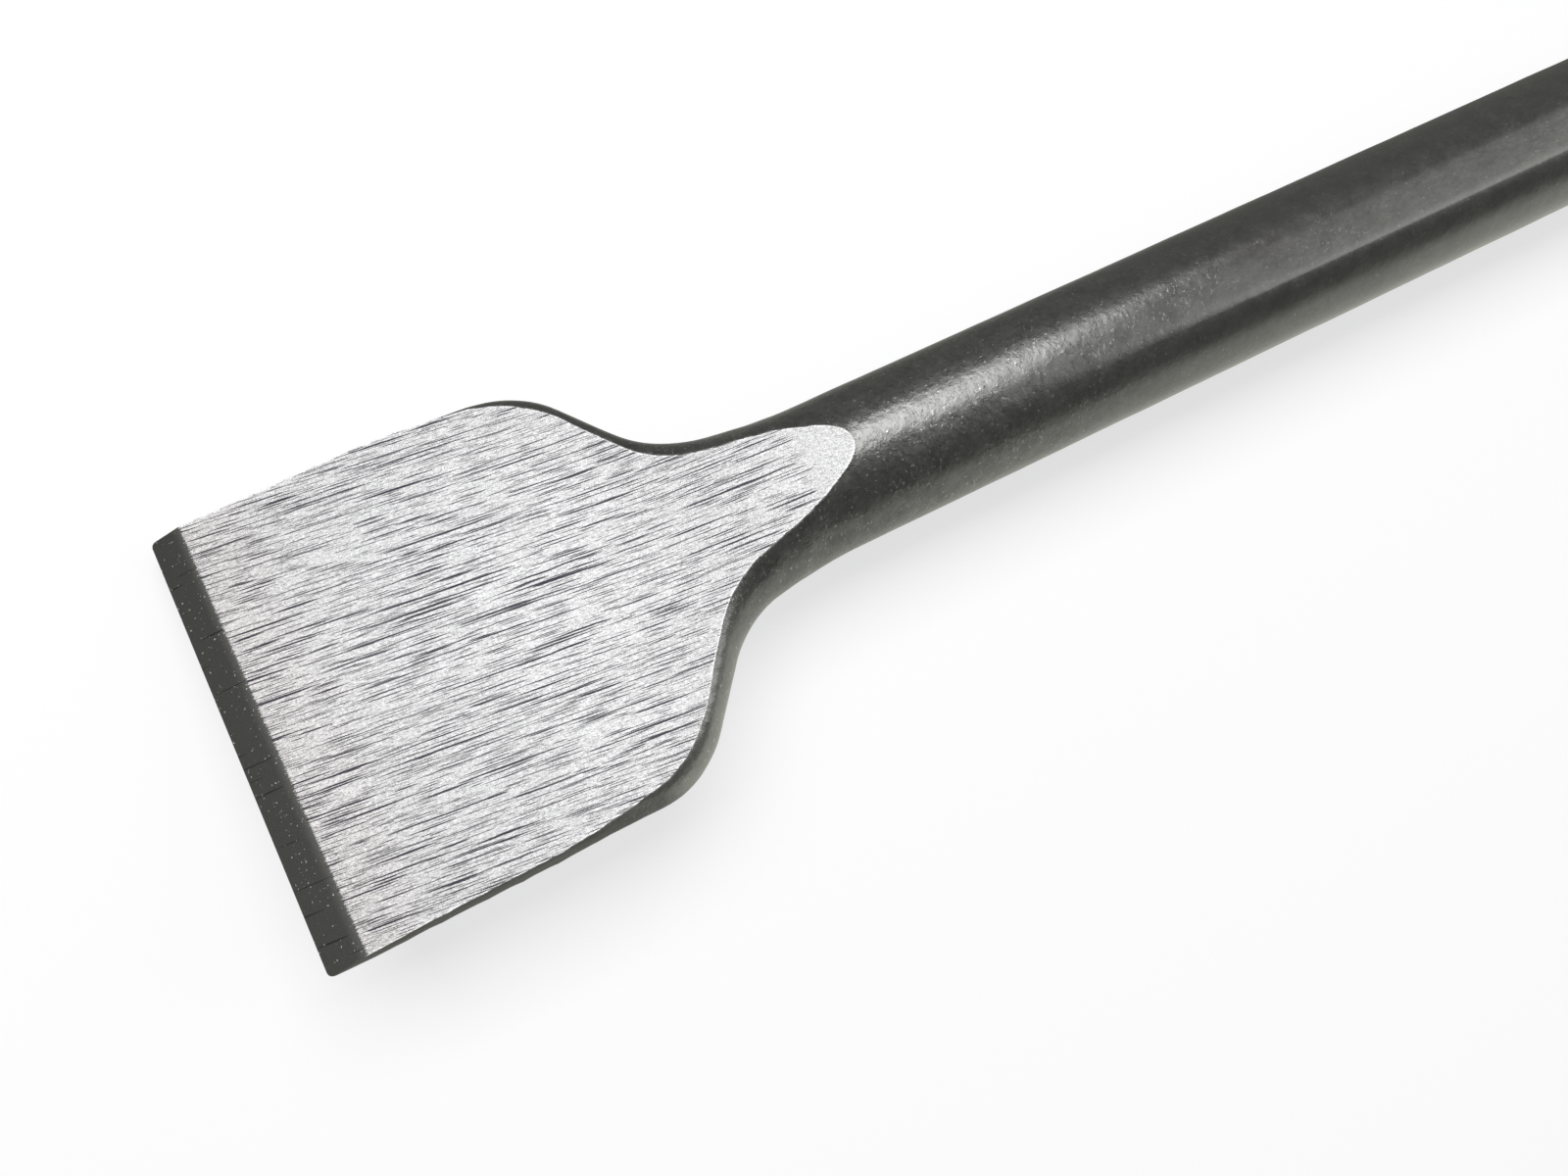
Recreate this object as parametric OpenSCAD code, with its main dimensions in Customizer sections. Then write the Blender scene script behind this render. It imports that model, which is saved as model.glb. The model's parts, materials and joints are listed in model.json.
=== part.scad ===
// Wide flat chisel for a rotary hammer, forged from one steel bar.
// The bar's axis lies along X: the striking end is at X = 0 and the cutting edge
// at X = length. Up is Z. All sizes are in millimetres, all angles in degrees.

/* [Bar] */
// Whole length, striking end to cutting edge
length = 250; // [180:5:400]
// Diameter of the round shaft
shaft_d = 14; // [12:0.5:16]

/* [Blade outline] */
// Width of the blade across its parallel sides
blade_w = 40; // [32:1:50]
// Length of the parallel sides, from the cutting edge
blade_side = 28.3; // [22:0.1:36]
// Radius of the rounded shoulder
shoulder_r = 10; // [7:0.5:14]
// Slope of the flank between shoulder and neck, against the axis
flare_angle = 50; // [40:1:60]
// Radius of the hollow curve where the flank runs into the shaft
neck_r = 13.8; // [8:0.2:20]

/* [Ground faces] */
// Thickness the ground faces would meet at, if they ran on to the cutting edge
face_t = 2.26; // [1.6:0.02:4]
// Slope of each ground face against the axis
face_taper = 3; // [1:0.1:4]
// Distance from the cutting edge at which the faces start to curve outward
face_flat = 32; // [24:1:44]
// Radius of that outward curve, left by the grinding wheel
wheel_r = 80; // [50:2:140]
// Slope at which each face runs out on top of the round bar
run_out_angle = 11.8; // [8:0.2:18]

/* [Cutting edge] */
// Length of the two bevels, measured along the axis at the middle of the blade
bevel = 3.08; // [1.5:0.02:8]
// How much longer the bevels are at one end of the edge than at the other
bevel_uneven = 0.66; // [0:0.02:1.5]
// Thickness of the small flat left on the cutting edge
edge_t = 0.3; // [0.1:0.05:0.8]

/* [Forged flank] */
// How far the flank stands out past the faces, against half the blade's thickness there
flank_round = 0.86; // [0.3:0.02:0.94]
// Distance from the edge at which the flank starts to change into the round bar
forged_from = 37; // [30:1:44]
// Distance from the edge at which the bar is full and round
forged_to = 52; // [48:1:56]
// Distance from the edge up to which the sides are ground square
square_to = 18; // [8:1:24]
// Distance from the edge from which the flank keeps its full forged rounding
round_from = 40; // [32:1:46]

/* [Slotted shank] */
// Diameter of the shank that slides into the tool holder
shank_d = 10; // [9:0.5:11]
// Length of the shank, up to the cone
shank_l = 60; // [58:1:80]
// Length of the cone between shank and shaft
cone_l = 8; // [4:1:20]
// Chamfer of the striking end
end_chamfer = 1; // [0.4:0.1:1.6]
// Diameter of the locking ball that fits the two closed grooves
ball_d = 7; // [5:0.5:8]
// Distance of the groove floor from the axis
ball_floor = 3.6; // [3.2:0.1:4.2]
// Distance from the striking end to the near end of the closed grooves
groove_at = 8.5; // [6:0.5:12]
// Whole length of the closed grooves
groove_l = 20; // [12:0.5:20]
// Width of the two open drive slots
slot_w = 2.8; // [2:0.1:3]
// Distance of the slot floor from the axis
slot_floor = 3.6; // [3.2:0.1:4.2]
// Length of the open slots at full depth
slot_l = 36; // [30:1:40]
// Radius of the cutter that leaves the slots' sloping run-out
slot_cutter_r = 12; // [6:1:20]

/* [Hidden] */
// Smoothness of the turned surfaces and of the balls
turned_fn = 96;
ball_fn = 48;
// Steps of the forged head along the axis and around one flank
head_steps = 40;
flank_steps = 20;
// Smallest share of flank rounding, kept on the square sides
square_share = 0.06;
// How far short of the bar's top the ground face is taken as run out
run_out_gap = 0.005;
// Steps used to find the roll at which the chisel rests
roll_steps = 24;
// Turn of the turned body about its own axis, which leaves its shape the same
turned_phase = 37.5;
// Share of the bar's radius, and length, of the core that ties the bar into the head
core_share = 0.5;
core_l = 3;
// Overshoot of cutting bodies past the surface they cut
over = 1;

shaft_r = shaft_d / 2;
half_w = blade_w / 2;
shank_r = shank_d / 2;
ball_r = ball_d / 2;

// Outline seen from above: parallel side, round shoulder, straight flare, hollow neck.
// Each point is given by its distance from the cutting edge.
shoulder_end = blade_side + shoulder_r * sin(flare_angle);
shoulder_drop = shoulder_r * (1 - cos(flare_angle));
neck_drop = neck_r * (1 - cos(flare_angle));
flare_drop = half_w - shaft_r - shoulder_drop - neck_drop;
flare_end = shoulder_end + flare_drop / tan(flare_angle);
neck_end = flare_end + neck_r * sin(flare_angle);

function plan_half(e) =
    e < blade_side ? half_w :
    e < shoulder_end ? half_w - shoulder_r + sqrt(pow(shoulder_r, 2) - pow(e - blade_side, 2)) :
    e < flare_end ? half_w - shoulder_drop - (e - shoulder_end) * tan(flare_angle) :
    e < neck_end ? shaft_r + neck_r - sqrt(pow(neck_r, 2) - pow(neck_end - e, 2)) :
    shaft_r;

// Height of the ground faces above the middle plane: a taper, the wheel's arc, and a
// straight run-out that ends on top of the bar.
wheel_e = face_flat - wheel_r * sin(face_taper);
wheel_z = face_t / 2 + face_flat * tan(face_taper) + wheel_r * cos(face_taper);
arc_end = wheel_e + wheel_r * sin(run_out_angle);
arc_h = wheel_z - wheel_r * cos(run_out_angle);
run_out_h = shaft_r - run_out_gap;
face_end = arc_end + (run_out_h - arc_h) / tan(run_out_angle);

function face_half(e) =
    e <= face_flat ? face_t / 2 + e * tan(face_taper) :
    e <= arc_end ? wheel_z - sqrt(pow(wheel_r, 2) - pow(e - wheel_e, 2)) :
    min(run_out_h, arc_h + (e - arc_end) * tan(run_out_angle));

// Where the turned bar meets the forged head.
bar_end = length - face_end;
core_r = shaft_r * core_share;

// How far the flank bulges past the rim of the ground face: next to nothing on the square
// sides, well rounded at the shoulders, and the bar's own curve in the neck.
function ease(u) = let (v = min(1, max(0, u))) v * v * (3 - 2 * v);
function mix(a, b, t) = a + (b - a) * t;
function bulge(e, h) =
    let (
        forged = h * flank_round * mix(square_share, 1, ease((e - square_to) / (round_from - square_to))),
        turned = shaft_r - sqrt(shaft_r * shaft_r - h * h))
    mix(forged, turned, ease((e - forged_from) / (forged_to - forged_from)));

// Distance from the edge of the bevel's end, which runs slightly askew across the blade.
function bevel_end(y) = bevel + bevel_uneven / 2 * y / half_w;

// One flank arc from the upper rim to the lower rim, as [y, z] for the side y > 0.
function flank(b, h, s) =
    let (r = (s * s + h * h) / (2 * s), reach = asin(h / r))
    [for (j = [0 : flank_steps])
        let (a = reach * (1 - 2 * j / flank_steps))
        [b - r + r * cos(a), r * sin(a)]];

// A closed ring of the head: the flank at y > 0 from top to bottom, then back up at y < 0.
function ring_yz(b, h, s) =
    let (f = flank(b, h, s))
    concat(f, [for (j = [flank_steps : -1 : 0]) [-f[j][0], f[j][1]]]);

function station(e) =
    let (h = face_half(e))
    [for (p = ring_yz(plan_half(e), h, bulge(e, h))) [length - e, p[0], p[1]]];

// The ring on the cutting edge and the askew ring where the bevels end.
edge_ring = [for (p = ring_yz(half_w, edge_t / 2, edge_t / 2 * square_share)) [length, p[0], p[1]]];
bevel_ring =
    let (n = 2 * (flank_steps + 1))
    [for (j = [0 : n - 1])
        let (side = j < n / 2 ? 1 : -1, e = bevel_end(side * half_w), h = face_half(e))
        [length - e, ring_yz(half_w, h, bulge(e, h))[j][0], ring_yz(half_w, h, bulge(e, h))[j][1]]];

// Stations lie closer together toward the tip of the ground face.
tip_ease = 1.3;
stations = [for (i = [0 : head_steps]) face_end - (face_end - square_to) * pow(1 - i / head_steps, tip_ease)];
rings = concat([edge_ring, bevel_ring], [for (e = stations) station(e)]);

// Roll at which the blade's lower side rests on the same floor as the shaft.
wide_rings = [for (e = stations) if (plan_half(e) > 1.5 * shaft_r) station(e)];
function depth_at(turn) =
    max([for (r = wide_rings) max([for (p = r) -(p[1] * sin(turn) + p[2] * cos(turn))])]);
function roll_between(lo, hi, steps) =
    let (mid = (lo + hi) / 2)
    steps == 0 ? mid :
    depth_at(mid) > shaft_r ? roll_between(lo, mid, steps - 1) : roll_between(mid, hi, steps - 1);
roll = roll_between(0, 45, roll_steps);

// Forged and ground head, as one closed skin from the cutting edge to the round bar.
module head() {
    n = len(rings[0]);
    m = len(rings);
    skin = [for (i = [0 : m - 2], j = [0 : n - 1])
        let (a = i * n + j, b = i * n + (j + 1) % n)
        each [[a, b + n, b], [a, a + n, b + n]]];
    polyhedron(
        points = [for (r = rings) each r],
        faces = concat(skin, [[for (j = [0 : n - 1]) j], [for (j = [n - 1 : -1 : 0]) (m - 1) * n + j]]));
}

// Round bar turned down to the shank, with its cone and the chamfered striking end.
module turned_bar() {
    rotate([turned_phase, 0, 0]) rotate([0, 90, 0])
        rotate_extrude($fn = turned_fn)
            polygon([
                [0, 0],
                [shank_r - end_chamfer, 0],
                [shank_r, end_chamfer],
                [shank_r, shank_l],
                [shaft_r, shank_l + cone_l],
                [shaft_r, bar_end],
                [core_r, bar_end],
                [core_r, bar_end + core_l],
                [0, bar_end + core_l]]);
}

// Closed groove for a locking ball, round in section and at both ends.
module ball_groove() {
    first = groove_at + ball_r;
    last = groove_at + groove_l - ball_r;
    translate([0, 0, ball_floor + ball_r]) {
        translate([first, 0, 0]) rotate([0, 90, 0]) cylinder(h = last - first, r = ball_r, $fn = ball_fn);
        for (x = [first, last]) translate([x, 0, 0]) sphere(r = ball_r, $fn = ball_fn);
    }
}

// Open drive slot, running out of the striking end and rising where the cutter left it.
module drive_slot() {
    translate([-over, slot_floor, -slot_w / 2])
        cube([slot_l + over, shank_r, slot_w]);
    translate([slot_l, slot_floor + slot_cutter_r, -slot_w / 2])
        cylinder(h = slot_w, r = slot_cutter_r, $fn = turned_fn);
}

module chisel() {
    color([0.36, 0.36, 0.37])
        rotate([roll, 0, 0])
            union() {
                head();
                difference() {
                    turned_bar();
                    for (turn = [0, 180]) rotate([turn, 0, 0]) {
                        ball_groove();
                        drive_slot();
                    }
                }
            }
}

chisel();
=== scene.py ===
"""Looks of a wide flat chisel with a slotted hammer shank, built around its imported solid.

The chisel is one forged bar, so it is one skin here: rings of points carried along the
bar from the cutting edge to the striking end. Lengths in the formulas are millimetres.
"""

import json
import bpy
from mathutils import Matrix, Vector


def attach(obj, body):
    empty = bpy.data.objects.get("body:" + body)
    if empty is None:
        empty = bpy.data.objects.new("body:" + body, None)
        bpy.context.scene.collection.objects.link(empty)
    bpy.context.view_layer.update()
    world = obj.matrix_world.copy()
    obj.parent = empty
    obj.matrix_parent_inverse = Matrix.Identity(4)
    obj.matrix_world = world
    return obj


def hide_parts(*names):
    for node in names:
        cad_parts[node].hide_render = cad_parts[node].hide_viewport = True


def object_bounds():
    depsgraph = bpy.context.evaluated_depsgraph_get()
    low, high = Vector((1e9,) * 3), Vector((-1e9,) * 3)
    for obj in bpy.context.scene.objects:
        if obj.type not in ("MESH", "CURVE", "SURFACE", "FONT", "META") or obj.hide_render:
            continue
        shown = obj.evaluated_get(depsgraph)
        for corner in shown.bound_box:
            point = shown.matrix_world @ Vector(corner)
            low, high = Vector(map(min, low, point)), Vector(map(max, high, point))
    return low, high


bl_info = {
    "name": "Flat Chisel",
    "version": (1, 0, 0),
    "blender": (4, 5, 0),
    "location": "3D View > Sidebar > Chisel",
    "description": "Builds a forged flat chisel, its steel finishes and a plain studio",
    "category": "Add Mesh",
}

import bmesh
import bpy
import numpy as np
from mathutils import Euler, Vector

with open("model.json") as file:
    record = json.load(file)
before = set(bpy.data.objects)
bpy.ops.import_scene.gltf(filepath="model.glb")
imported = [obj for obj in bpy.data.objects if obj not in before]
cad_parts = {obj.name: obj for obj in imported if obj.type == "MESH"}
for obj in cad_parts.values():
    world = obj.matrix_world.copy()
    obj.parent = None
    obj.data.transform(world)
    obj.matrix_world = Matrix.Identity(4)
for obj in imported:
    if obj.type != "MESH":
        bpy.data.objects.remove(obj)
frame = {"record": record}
CAD_BOX = [list(map(float, corner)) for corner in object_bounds()]
MOUNTS = {m["name"]: m for m in frame["record"]["mounts"]}
SHANK = MOUNTS["shank"]["dims"]
MM = 0.001


# Sizes and colours.


def length(name, description, default, **more):
    """A length property in metres, shown with five places."""
    return bpy.props.FloatProperty(
        name=name, description=description, default=default, unit="LENGTH", precision=5, **more
    )


def angle(name, description, default):
    """An angle property, given in degrees and kept in radians."""
    return bpy.props.FloatProperty(
        name=name, description=description, default=float(np.radians(default)), subtype="ANGLE"
    )


def colour(name, description, default):
    """A colour property."""
    return bpy.props.FloatVectorProperty(
        name=name, description=description, default=default, subtype="COLOR", min=0, max=1
    )


def number(name, description, default):
    """A plain number property."""
    return bpy.props.FloatProperty(name=name, description=description, default=default)


class ChiselSizes(bpy.types.PropertyGroup):
    """Sizes of the forged and ground chisel."""

    whole: length("Length", "Striking end to cutting edge", CAD_BOX[1][0])
    shaft_d: length("Shaft diameter", "Diameter of the round bar", 2 * CAD_BOX[1][2])
    blade_w: length("Blade width", "Width across the parallel sides", 0.040)
    blade_side: length("Parallel sides", "Length of the parallel sides", 0.0283)
    shoulder_r: length("Shoulder radius", "Radius of the rounded shoulder", 0.010)
    flare_angle: angle("Flare angle", "Slope of the flank between shoulder and neck", 50)
    neck_r: length("Neck radius", "Radius of the hollow curve into the shaft", 0.0138)
    face_t: length("Face thickness", "Thickness the faces would meet at on the edge", 0.00226)
    face_taper: angle("Face taper", "Slope of each ground face against the axis", 3)
    face_flat: length("Face flat", "Distance from the edge where the faces start to curve", 0.032)
    wheel_r: length("Wheel radius", "Radius the grinding wheel left in the faces", 0.080)
    run_out_angle: angle("Run-out angle", "Slope at which the faces run out on the bar", 11.8)
    bevel: length("Bevel length", "Length of the bevels along the axis", 0.00308)
    bevel_uneven: length("Bevel unevenness", "How much longer the bevels are at one end", 0.00066)
    edge_t: length("Edge thickness", "Flat left on the cutting edge", 0.0003)
    flank_round: number("Flank rounding", "Bulge of the flank against half the thickness", 0.86)
    forged_from: length("Forged from", "Where the flank starts to turn into the bar", 0.037)
    forged_to: length("Forged to", "Where the bar is full and round", 0.052)
    square_to: length("Square to", "Distance up to which the sides are ground square", 0.018)
    round_from: length("Round from", "Distance from which the flank is fully rounded", 0.040)
    shank_d: length("Shank diameter", "Diameter in the tool holder", 2 * SHANK["r_mm"] * MM)
    shank_l: length("Shank length", "Length of the shank up to the cone", 0.060)
    cone_l: length("Cone length", "Length of the cone between shank and shaft", 0.008)
    end_chamfer: length("End chamfer", "Chamfer of the striking end", 0.001)
    ball_d: length("Ball diameter", "Diameter of the locking balls' grooves", 0.007)
    ball_floor: length("Groove floor", "Distance of the groove floor from the axis", 0.0036)
    groove_at: length("Groove start", "Near end of the closed grooves", 0.0085)
    groove_l: length("Groove length", "Whole length of the closed grooves", 0.020)
    slot_w: length("Slot width", "Width of the open drive slots", 0.0028)
    slot_floor: length("Slot floor", "Distance of the slot floor from the axis", 0.0036)
    slot_l: length("Slot length", "Length of the open slots at full depth", 0.036)
    slot_cutter_r: length("Slot cutter", "Radius that leaves the slots' run-out", 0.012)


class SteelFinish(bpy.types.PropertyGroup):
    """Colours of the steel's finishes."""

    blasted: colour("Blasted steel", "Dark shot-blasted bar and flanks", (0.18, 0.18, 0.178))
    ground: colour("Ground face", "Bright ground steel of the faces", (0.53, 0.53, 0.54))
    scratch: colour("Scratch", "Dark floor of the grinding scratches", (0.055, 0.05, 0.07))
    bevel: colour("Bevel", "Dark steel of the bevels", (0.113, 0.114, 0.108))
    scratch_lean: angle("Scratch lean", "Lean of the scratches off the axis", 7)


class StudioSizes(bpy.types.PropertyGroup):
    """Camera, floor and lights."""

    camera_at: bpy.props.FloatVectorProperty(
        name="Camera place",
        description="Where the camera stands",
        default=(0.226643, 0.009237, 0.110959),
        subtype="TRANSLATION",
        unit="LENGTH",
        precision=5,
    )
    camera_turn: bpy.props.FloatVectorProperty(
        name="Camera turn",
        description="Turn of the camera about X, Y and Z",
        default=tuple(np.radians((6.1633, -10.3864, 153.5817))),
        subtype="EULER",
    )
    lens: number("Lens", "Focal length on a 36 mm wide sensor", 29.253)
    floor_size: length("Floor size", "Width of the square floor", 3.0)
    floor_tone: colour("Floor", "Pale floor", (0.33, 0.33, 0.333))
    floor_glow: number("Floor glow", "Light that the paper floor gives by itself", 2.05)
    key_from: bpy.props.FloatVectorProperty(
        name="Key direction",
        description="Direction from the head to the soft light",
        default=(-0.035, -0.475, 0.88),
        subtype="DIRECTION",
    )
    key_aim: length("Key aim", "Distance from the cutting edge to the spot that the light faces", 0.03)
    key_far: length("Key distance", "Distance of the soft light from that spot", 0.6)
    key_long: length("Key length", "Length of the soft light along the bar", 0.64)
    key_wide: length("Key width", "Width of the soft light", 0.36)
    key_power: number("Key power", "Power of the soft light over the faces", 3.65)
    room: colour("Room", "Dim light from all round", (0.155, 0.155, 0.140))
    room_dark: number("Dark side", "Share of the room's light left above the horizon at +Y", 0.75)
    bounce: colour("Bounce", "Light thrown back from the paper in front", (0.75, 0.76, 0.68))
    wall: colour("Wall", "Pale wall beyond the striking end", (0.85, 0.85, 0.82))
    wall_glow: number("Wall glow", "How much light the pale wall gives", 1.8)


# The chisel's formulas.

# How far the faces stay under the bar's top where they run out, and the share of the flank's
# rounding that is left on the sides ground square.
RUN_OUT_GAP, SQUARE_SHARE = 0.005, 0.06

# The hammered flat on the bar: depth, turn about the bar, and the distances from the edge
# between which it sinks in and comes out again. Its two ridges are rounded by these depths,
# and the second gets crisp between these distances.
FLAT_DEPTH, FLAT_TURN = 0.32, np.radians(-0.5)
FLAT_IN, FLAT_OUT = (66, 110), (150, 174)
SOFT_RIDGE, CRISP_RIDGE, CRISP_IN = 0.16, 0.08, (84, 110)

# Where the forged plan stands off its even curve: by how much, how far from the curve's named
# point, and how far it reaches.
NECK_FULL, NECK_HOLLOW, SHOULDER_FULL = (0.45, -2.3, 3.6), (0.45, 0, 3), (0.15, 3.2, 2.4)
CORNER_R = 0.45

# Soft waves of the skin: height, radians per millimetre along e, y and z, and shift.
SKIN_WAVES = (
    (0.018, 0.31, 0.50, -0.42, 0.4),
    (0.014, -0.53, 0.37, 0.61, 2.1),
    (0.010, 0.83, -0.71, 0.33, 4.0),
    (0.008, 1.21, 0.90, -0.80, 1.3),
    (0.006, -1.70, 1.10, 1.30, 5.2),
    (0.004, 2.30, -1.60, 1.20, 0.9),
)
# Short waves of the rims: height, radians per millimetre, and how they shift from rim to rim.
RIM_WAVES = ((0.030, 1.9, 2.0), (0.022, 3.7, 0.7), (0.016, 6.1, -1.3))

# The skin's waves come up over these distances past the bevel, down from a rim and before the
# cone. Past the neck they thin out to BAR_SHARE.
PAST_BEVEL, PAST_RIM, BEFORE_CONE = (3, 7), (0, 2), (4, 10)
PAST_NECK, BAR_SHARE = (0, 10), 0.4
# The rims' waves fade with the distance from the rim, and come up over these distances past
# the bevel and before the faces' tips.
RIM_REACH, RIM_PAST_BEVEL, RIM_BEFORE_TIP = 0.7, (1, 5), (1, 3)


class Form:
    """The chisel's sizes in millimetres and radians, and the curves that follow from them."""

    def __init__(self, sizes):
        for name, prop in ChiselSizes.bl_rna.properties.items():
            if prop.type == "FLOAT":
                value = getattr(sizes, name)
                setattr(self, name, value / MM if prop.unit == "LENGTH" else value)
        self.shaft_r, self.half_w = self.shaft_d / 2, self.blade_w / 2
        self.shank_r, self.ball_r = self.shank_d / 2, self.ball_d / 2
        turn = self.flare_angle
        self.shoulder_end = self.blade_side + self.shoulder_r * np.sin(turn)
        self.shoulder_drop = self.shoulder_r * (1 - np.cos(turn))
        neck_drop = self.neck_r * (1 - np.cos(turn))
        drop = self.half_w - self.shaft_r - self.shoulder_drop - neck_drop
        self.flare_end = self.shoulder_end + drop / np.tan(turn)
        self.neck_end = self.flare_end + self.neck_r * np.sin(turn)
        taper, out = self.face_taper, self.run_out_angle
        self.wheel_e = self.face_flat - self.wheel_r * np.sin(taper)
        self.wheel_z = (
            self.face_t / 2 + self.face_flat * np.tan(taper) + self.wheel_r * np.cos(taper)
        )
        self.arc_end = self.wheel_e + self.wheel_r * np.sin(out)
        self.arc_h = self.wheel_z - self.wheel_r * np.cos(out)
        self.run_out_h = self.shaft_r - RUN_OUT_GAP
        self.face_end = self.arc_end + (self.run_out_h - self.arc_h) / np.tan(out)

    def plan_half(self, e):
        """Half the width at distance e from the edge: a straight side, a round shoulder, a
        straight flare and a hollow neck that ends on the shaft."""
        shoulder = np.sqrt(np.maximum(self.shoulder_r**2 - (e - self.blade_side) ** 2, 0))
        neck = np.sqrt(np.maximum(self.neck_r**2 - (self.neck_end - e) ** 2, 0))
        flare = self.half_w - self.shoulder_drop - (e - self.shoulder_end) * np.tan(self.flare_angle)
        round_half, neck_half = self.half_w - self.shoulder_r + shoulder, self.shaft_r + self.neck_r - neck
        return np.select(
            [e < self.blade_side, e < self.shoulder_end, e < self.flare_end, e < self.neck_end],
            [self.half_w, round_half, flare, neck_half],
            self.shaft_r,
        )

    def face_half(self, e):
        """Height of the ground faces at distance e: a taper, the wheel's arc, a straight run-out."""
        arc = self.wheel_z - np.sqrt(np.maximum(self.wheel_r**2 - (e - self.wheel_e) ** 2, 0))
        out = np.minimum(self.run_out_h, self.arc_h + (e - self.arc_end) * np.tan(self.run_out_angle))
        taper = self.face_t / 2 + e * np.tan(self.face_taper)
        return np.where(e <= self.face_flat, taper, np.where(e <= self.arc_end, arc, out))

    def bulge(self, e, h):
        """How far the flank stands out past the face's rim: little on the square sides, well
        rounded at the shoulders, the bar's own curve in the neck."""
        share = mix(SQUARE_SHARE, 1, ease((e - self.square_to) / (self.round_from - self.square_to)))
        turned = self.shaft_r - np.sqrt(np.maximum(self.shaft_r**2 - h * h, 0))
        t = ease((e - self.forged_from) / (self.forged_to - self.forged_from))
        return mix(h * self.flank_round * share, turned, t)

    def bevel_end(self, y):
        """Distance from the edge at which the bevels end, slightly askew across the blade."""
        return self.bevel + self.bevel_uneven / 2 * y / self.half_w


def ease(u):
    """Smooth step: 3u^2 - 2u^3 of u kept between 0 and 1."""
    v = np.clip(u, 0, 1)
    return v * v * (3 - 2 * v)


def mix(a, b, t):
    """a at t 0, b at t 1, and a straight line between."""
    return a + (b - a) * t


def between(e, span):
    """Smooth step from 0 where e enters the span to 1 where it leaves it."""
    return ease((e - span[0]) / (span[1] - span[0]))


def hump(e, at, trace):
    """A bell of the trace's height, centred its offset past at: height * exp(-(off / reach)^2)."""
    height, offset, reach = trace
    return height * np.exp(-(((e - at - offset) / reach) ** 2))


# Steps across a ring: along the upper and the lower edge, down the middle block of a flank,
# and down each block above and below that. FLANK is the number of a flank's points, and LOW
# the first point of the lower edge. The first step in from a rim is RIM_STEP millimetres.
TOP, SIDE, ARC = 24, 12, 16
FLANK = 2 * ARC + SIDE + 1
LOW = TOP - 1 + FLANK
RIM_STEP = 0.10
# Shares of the bevel at which it has a ring, close together at the cutting edge's corners.
BEVEL_STEPS = (0, 0.02, 0.05, 0.1, 0.17, 0.3, 0.5, 0.75, 1)
# Distances past the faces' tips of the bar's first rings, the step from ring to ring further
# on, and the length over which the points of a ring move from one spacing to the next.
TIP_RINGS, BAR_STEP, SETTLE = (0.15, 0.4, 0.8, 1.4, 2.2, 3.2, 4.4, 6.0), 1.5, 8
# Span past the cone over which the side blocks narrow to the slots, and the shares of the
# striking face's radius at which its last two rings lie.
SLOT_SETTLE, END_RINGS = (2, 8), (0.6, 0.0)
# Least bulge that still gives the flank a circle, and half angle of the block that a ball
# groove opens, where it is closed.
LEAST_BULGE, CLOSED = 1e-6, 0.02
# Halvings in the search for the roll.
ROLL_STEPS = 24


def block(steps, narrow):
    """Shares from -1 to 1 across a block, one row per ring. The first and last step are narrow,
    given as a share of the block's half width, and the others are even."""
    inner = np.linspace(-1, 1, steps - 1)[None, :] * (1 - narrow)
    ends = np.ones((len(inner), 1))
    return np.concatenate([-ends, inner, ends], 1)


def flank_angles(reach, side, narrow):
    """Angles down one flank from the upper rim at reach to the lower rim at -reach. The middle
    block spans side on both sides of 0. The first and last step are narrow."""
    down = np.linspace(0, 1, ARC)[None, 1:]
    top = reach - narrow
    upper = np.concatenate([reach, top, mix(top, side, down)], 1)
    middle = side * np.linspace(1, -1, SIDE + 1)[None, 1:-1]
    return np.concatenate([upper, middle, -upper[:, ::-1]], 1)


def join_ring(top_y, top_z, flank_y, flank_z):
    """A closed ring from its upper edge (y rising) and the flank at y > 0 (z falling). The lower
    edge and the other flank are their mirror images. The corners belong to the flanks."""
    y = np.concatenate([top_y[:, 1:-1], flank_y, top_y[:, -2:0:-1], -flank_y[:, ::-1]], 1)
    z = np.concatenate([top_z[:, 1:-1], flank_z, -top_z[:, -2:0:-1], flank_z[:, ::-1]], 1)
    return y, z


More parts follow.
